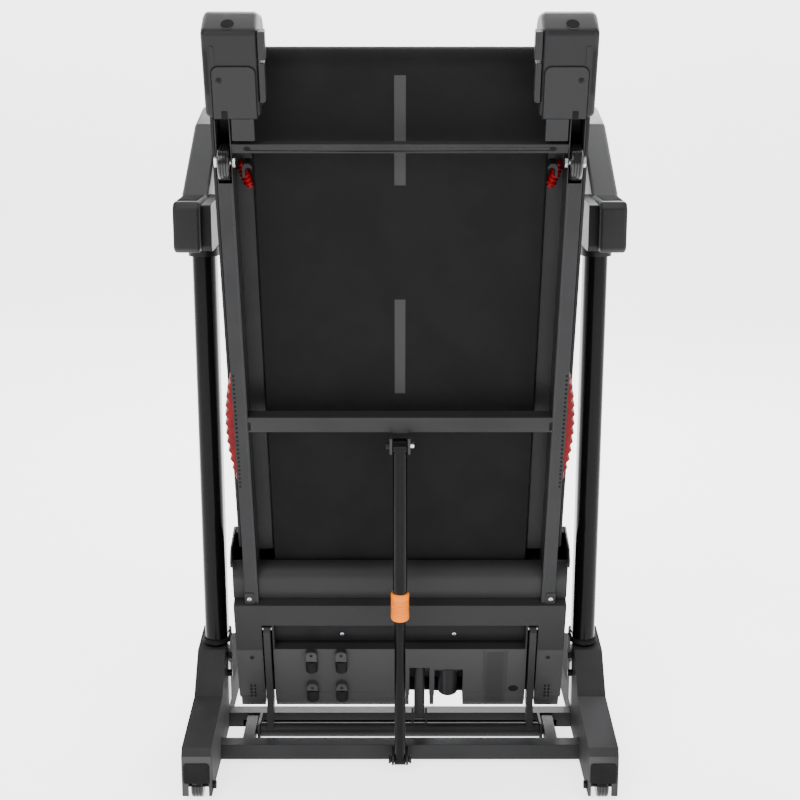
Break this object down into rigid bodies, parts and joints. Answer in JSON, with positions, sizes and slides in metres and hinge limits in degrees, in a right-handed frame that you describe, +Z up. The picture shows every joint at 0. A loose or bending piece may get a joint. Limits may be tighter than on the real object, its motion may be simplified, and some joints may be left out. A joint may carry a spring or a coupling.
{
  "type": "folding treadmill",
  "caption": "Folding motorised treadmill stored upright, with a locking strut, powered incline, rollers and belt, motor bay, console and transport wheels.",
  "frame": {"origin": "on the floor, under the middle of the box that holds the stored machine", "axes": "+Z up, +Y towards the console end, +X across the machine"},
  "size_m": [0.744, 0.7792, 1.2843],
  "materials": {
    "frame_steel": "satin charcoal powder coat",
    "tube_black": "glossy black paint",
    "cover_plastic": "fine grained charcoal moulding",
    "belt_black": "fine diamond weave backing",
    "board_phenolic": "dark phenolic film",
    "red_elastomer": "ribbed red elastomer",
    "orange_plastic": "orange moulding",
    "black_rubber": "matt",
    "zinc_steel": "bright zinc plate",
    "black_oxide": "black oxide fasteners",
    "wheel_black": "glossy moulded wheel",
    "motor_paint": "dark enamel",
    "display_lens": "smoked lens",
    "button_grey": "soft touch",
    "key_red": "red moulding",
    "step_plastic": "ribbed step surface"
  },
  "bodies": {
    "base": {"foot_tubes": "frame_steel", "rear_cross_tube": "frame_steel", "middle_cross_tube": "frame_steel", "front_cross_tube": "frame_steel", "frame_ties": "frame_steel", "right_foot_cover": "cover_plastic", "left_foot_cover": "cover_plastic", "right_upright": "tube_black", "left_upright": "tube_black", "base_fasteners": "black_oxide", "floor_feet": "black_rubber", "right_handrail": "cover_plastic", "left_handrail": "cover_plastic", "console_housing": "cover_plastic", "console_display": "display_lens", "console_crossbar": "frame_steel"},
    "deck": {"right_rail": "frame_steel", "left_rail": "frame_steel", "rear_crossbar": "frame_steel", "middle_crossbar": "frame_steel", "motor_mount": "frame_steel", "walking_belt": "belt_black", "running_board": "board_phenolic", "board_cushions": "black_rubber", "roller_shafts": "zinc_steel", "right_foot_rail": "step_plastic", "left_foot_rail": "step_plastic", "side_trims": "red_elastomer", "rear_dampers": "red_elastomer", "right_end_cap": "cover_plastic", "left_end_cap": "cover_plastic", "deck_fasteners": "zinc_steel", "motor_pan": "cover_plastic", "motor_hood": "cover_plastic", "pan_pads": "black_rubber", "drive_motor": "motor_paint", "drive_belt": "black_rubber", "speed_controller": "cover_plastic", "power_inlet": "cover_plastic"},
    "lift_frame": {"lift_frame": "frame_steel"},
    "strut_cylinder": {"strut_cylinder": "tube_black"},
    "strut_sleeve": {"strut_sleeve": "tube_black", "locking_collar": "orange_plastic"},
    "actuator_body": {"actuator_body": "motor_paint"},
    "actuator_tube": {"actuator_tube": "frame_steel"},
    "front_roller": {"front_roller": "zinc_steel"},
    "rear_roller": {"rear_roller": "zinc_steel"},
    "motor_rotor": {"motor_rotor": "motor_paint"},
    "safety_key": {"safety_key": "key_red"},
    "power_switch": {"power_switch": "cover_plastic"},
    "left_deck_wheel": {"left_deck_wheel": "wheel_black"},
    "left_transport_wheel": {"left_transport_wheel": "wheel_black"},
    "right_deck_wheel": {"right_deck_wheel": "wheel_black"},
    "right_transport_wheel": {"right_transport_wheel": "wheel_black"},
    "start_button": {"start_button": "button_grey"},
    "stop_button": {"stop_button": "button_grey"},
    "speed_up_button": {"speed_up_button": "button_grey"},
    "speed_down_button": {"speed_down_button": "button_grey"},
    "incline_up_button": {"incline_up_button": "button_grey"},
    "incline_down_button": {"incline_down_button": "button_grey"}
  },
  "joints": [
    {"name": "deck_fold", "type": "hinge", "parent": "base", "child": "lift_frame", "pos_m": [0, -0.0164, 0.026], "axis": [1, 0, 0], "range_deg": [0, 74]},
    {"name": "incline", "type": "hinge", "parent": "lift_frame", "child": "deck", "pos_m": [0, -0.03991, 0.23196], "axis": [1, 0, 0], "range_deg": [0, 5]},
    {"name": "strut_swing", "type": "hinge", "parent": "base", "child": "strut_cylinder", "pos_m": [0, -0.1284, 0.022], "axis": [1, 0, 0], "range_deg": [0, 84.4]},
    {"name": "strut_extend", "type": "slide", "parent": "strut_cylinder", "child": "strut_sleeve", "axis": [0, -0.082, 0.9966], "range_m": [-0.0963, 0]},
    {"name": "actuator_swing", "type": "hinge", "parent": "deck", "child": "actuator_body", "pos_m": [0.035, -0.00245, 0.18849], "axis": [1, 0, 0], "range_deg": [-6.62, 0]},
    {"name": "actuator_extend", "type": "slide", "parent": "actuator_body", "child": "actuator_tube", "axis": [0, -0.0656, -0.9978], "range_m": [0, 0.00389]},
    {"name": "front_roller_spin", "type": "hinge", "parent": "deck", "child": "front_roller", "pos_m": [0, -0.01103, 0.33304], "axis": [1, 0, 0], "continuous": true},
    {"name": "rear_roller_spin", "type": "hinge", "parent": "deck", "child": "rear_roller", "pos_m": [0, -0.29963, 1.21081], "axis": [1, 0, 0], "continuous": true},
    {"name": "motor_spin", "type": "hinge", "parent": "deck", "child": "motor_rotor", "pos_m": [0, 0.0521, 0.22747], "axis": [1, 0, 0], "continuous": true},
    {"name": "left_deck_wheel_spin", "type": "hinge", "parent": "deck", "child": "left_deck_wheel", "pos_m": [-0.2585, -0.31333, 1.06999], "axis": [1, 0, 0], "continuous": true},
    {"name": "left_transport_wheel_spin", "type": "hinge", "parent": "base", "child": "left_transport_wheel", "pos_m": [-0.341, -0.2174, 0.02], "axis": [1, 0, 0], "continuous": true},
    {"name": "right_deck_wheel_spin", "type": "hinge", "parent": "deck", "child": "right_deck_wheel", "pos_m": [0.2585, -0.31333, 1.06999], "axis": [1, 0, 0], "continuous": true},
    {"name": "right_transport_wheel_spin", "type": "hinge", "parent": "base", "child": "right_transport_wheel", "pos_m": [0.341, -0.2174, 0.02], "axis": [1, 0, 0], "continuous": true},
    {"name": "start_button_press", "type": "slide", "parent": "base", "child": "start_button", "axis": [0, 0.8442, -0.536], "range_m": [0, 0.0015], "stiffness_N_per_m": 500},
    {"name": "stop_button_press", "type": "slide", "parent": "base", "child": "stop_button", "axis": [0, 0.8442, -0.536], "range_m": [0, 0.0015], "stiffness_N_per_m": 500},
    {"name": "speed_up_button_press", "type": "slide", "parent": "base", "child": "speed_up_button", "axis": [0, 0.8442, -0.536], "range_m": [0, 0.0015], "stiffness_N_per_m": 500},
    {"name": "speed_down_button_press", "type": "slide", "parent": "base", "child": "speed_down_button", "axis": [0, 0.8442, -0.536], "range_m": [0, 0.0015], "stiffness_N_per_m": 500},
    {"name": "incline_up_button_press", "type": "slide", "parent": "base", "child": "incline_up_button", "axis": [0, 0.8442, -0.536], "range_m": [0, 0.0015], "stiffness_N_per_m": 500},
    {"name": "incline_down_button_press", "type": "slide", "parent": "base", "child": "incline_down_button", "axis": [0, 0.8442, -0.536], "range_m": [0, 0.0015], "stiffness_N_per_m": 500},
    {"name": "safety_key_pull", "type": "slide", "parent": "base", "child": "safety_key", "axis": [0, -0.8442, 0.536], "range_m": [0, 0.03]},
    {"name": "power_switch_rock", "type": "hinge", "parent": "deck", "child": "power_switch", "pos_m": [0.225, 0.07782, 0.09803], "axis": [1, 0, 0], "range_deg": [0, 12]}
  ],
  "couplings": [
    {"joint": "strut_swing", "follows": "deck_fold", "ratio": 1.1381},
    {"joint": "strut_extend", "follows": "deck_fold", "m_per_rad": -0.074443},
    {"joint": "actuator_swing", "follows": "incline", "ratio": -1.2847},
    {"joint": "actuator_extend", "follows": "incline", "m_per_rad": 0.042444},
    {"joint": "rear_roller_spin", "follows": "front_roller_spin", "ratio": 1},
    {"joint": "motor_spin", "follows": "front_roller_spin", "ratio": 1.5714}
  ]
}
